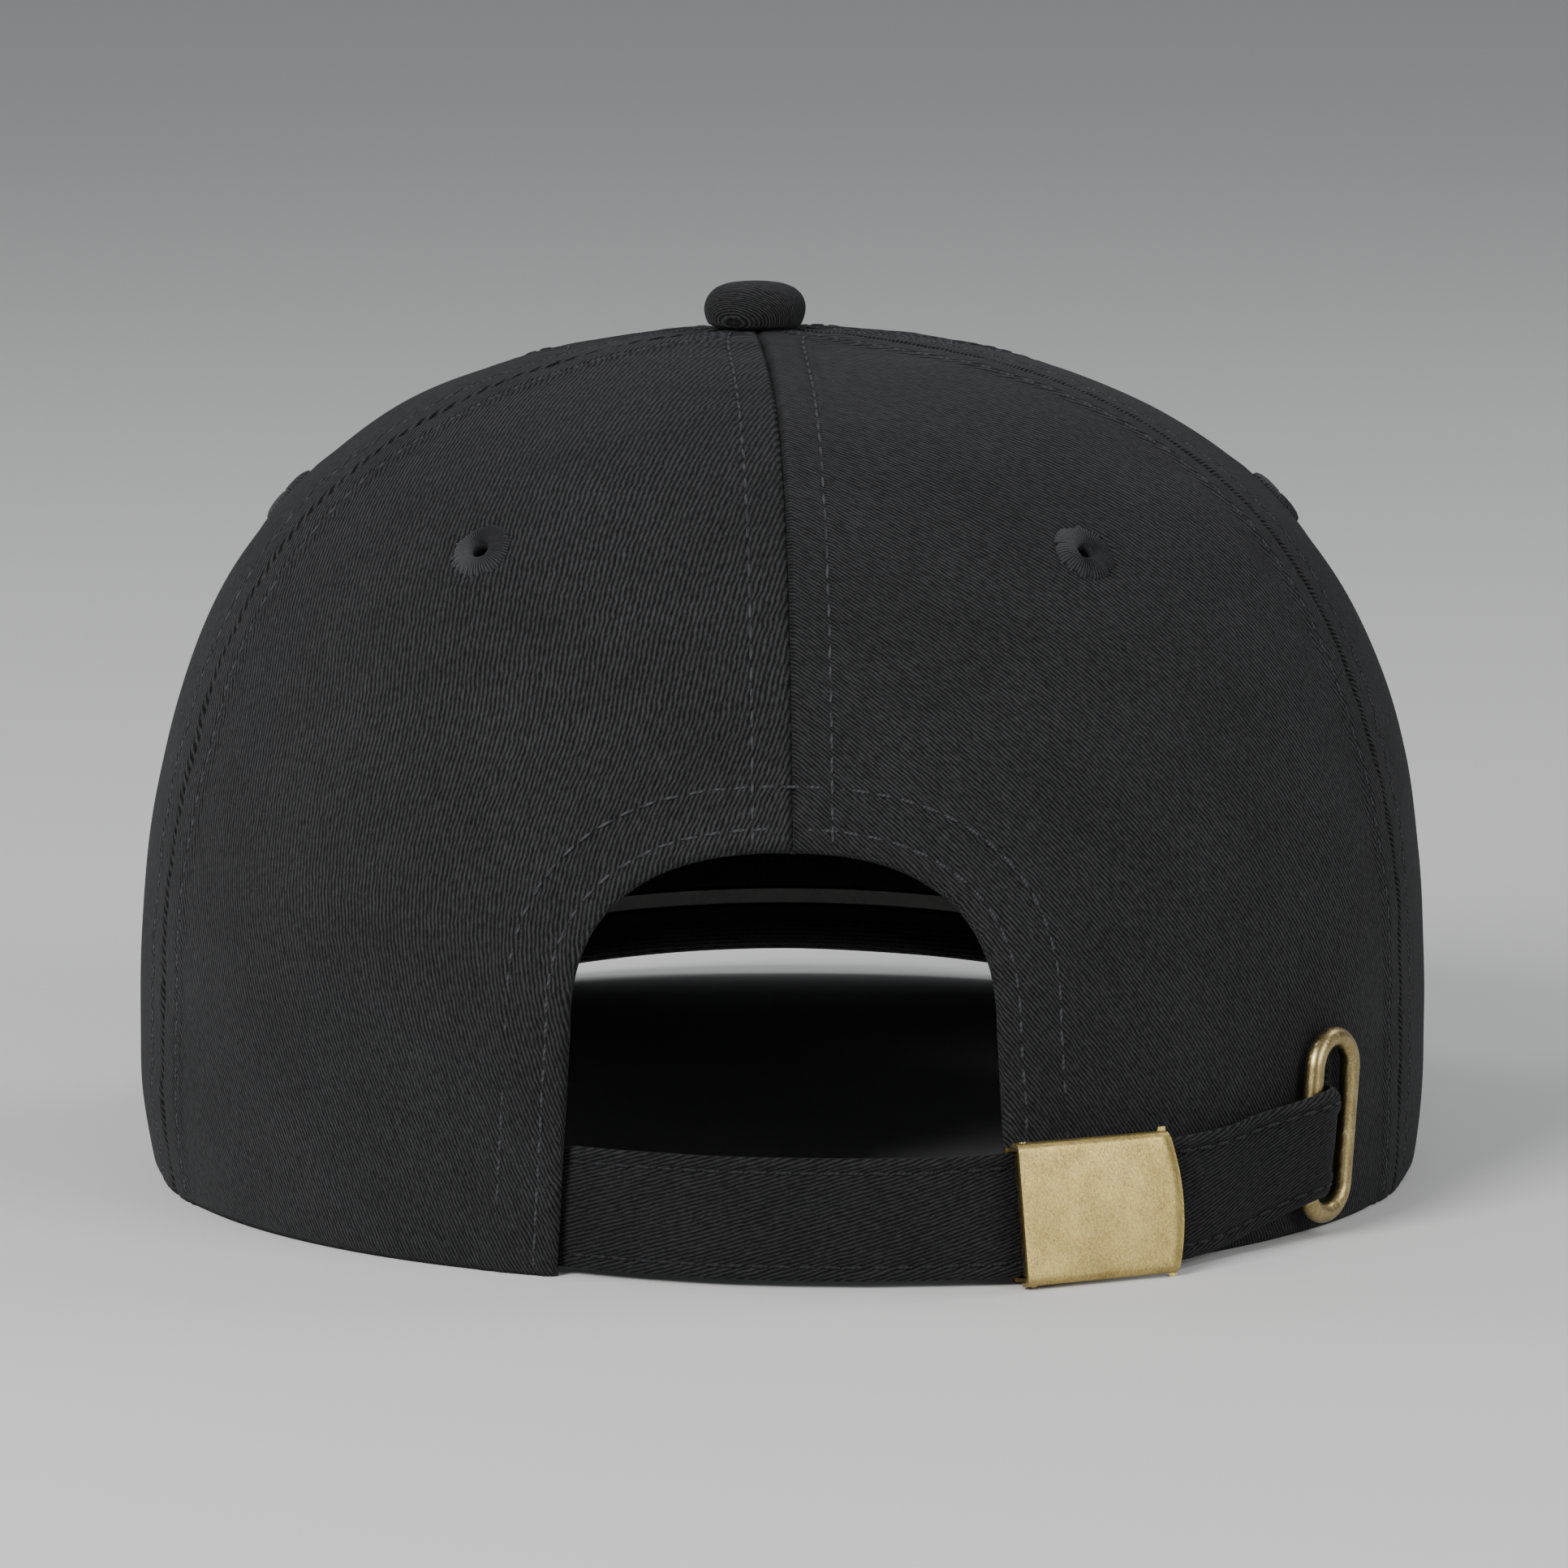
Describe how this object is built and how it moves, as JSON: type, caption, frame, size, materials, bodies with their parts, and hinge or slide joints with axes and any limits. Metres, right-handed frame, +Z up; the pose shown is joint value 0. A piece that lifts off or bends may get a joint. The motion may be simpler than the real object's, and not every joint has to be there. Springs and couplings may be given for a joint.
{
  "type": "baseball cap",
  "caption": "Curved-visor panelled cloth cap with a back opening, closed by a cloth strap held in a flip-lever buckle, its end tucked through a ring.",
  "frame": {"origin": "centre of the head opening, on the plane of the rim at the back", "axes": "+Z up, -Y towards the visor, +X towards the wearer's left"},
  "size_m": [0.1884, 0.2683, 0.1296],
  "materials": {
    "cotton_twill": "brushed twill",
    "eyelet_thread": "satin stitch",
    "buckram": "stiffened gauze",
    "band_foam": "open cell",
    "sweatband_cotton": "plain weave",
    "seam_tape": "plain weave",
    "label_tape": "satin ribbon",
    "visor_core": "matte",
    "button_tin": "tinned",
    "antique_brass": "antiqued and lightly scratched"
  },
  "bodies": {
    "cap": {"arch_facing": "cotton_twill", "back_left_eyelet": "eyelet_thread", "back_left_panel": "cotton_twill", "back_right_eyelet": "eyelet_thread", "back_right_panel": "cotton_twill", "buckle_frame": "antique_brass", "buckle_pin": "antique_brass", "buckle_tab": "cotton_twill", "button_cloth": "cotton_twill", "button_shank": "button_tin", "button_shell": "button_tin", "button_washer": "button_tin", "care_label": "label_tape", "front_left_buckram": "buckram", "front_left_eyelet": "eyelet_thread", "front_left_panel": "cotton_twill", "front_right_buckram": "buckram", "front_right_eyelet": "eyelet_thread", "front_right_panel": "cotton_twill", "seam_tape_back": "seam_tape", "seam_tape_back_left": "seam_tape", "seam_tape_back_right": "seam_tape", "seam_tape_front": "seam_tape", "seam_tape_front_left": "seam_tape", "seam_tape_front_right": "seam_tape", "side_left_eyelet": "eyelet_thread", "side_left_panel": "cotton_twill", "side_right_eyelet": "eyelet_thread", "side_right_panel": "cotton_twill", "strap": "cotton_twill", "sweatband_face": "sweatband_cotton", "sweatband_foam": "band_foam", "tuck_ring": "antique_brass", "tuck_ring_backing": "antique_brass", "visor_board": "visor_core", "visor_top_cloth": "cotton_twill", "visor_under_cloth": "cotton_twill"},
    "lever": {"buckle_lever": "antique_brass"}
  },
  "joints": [
    {"name": "lever_flip", "type": "hinge", "parent": "cap", "child": "lever", "pos_m": [-0.03332, 0.09766, 0.01005], "axis": [-0.0766, 0.1558, -0.9848], "range_deg": [0, 95]}
  ]
}
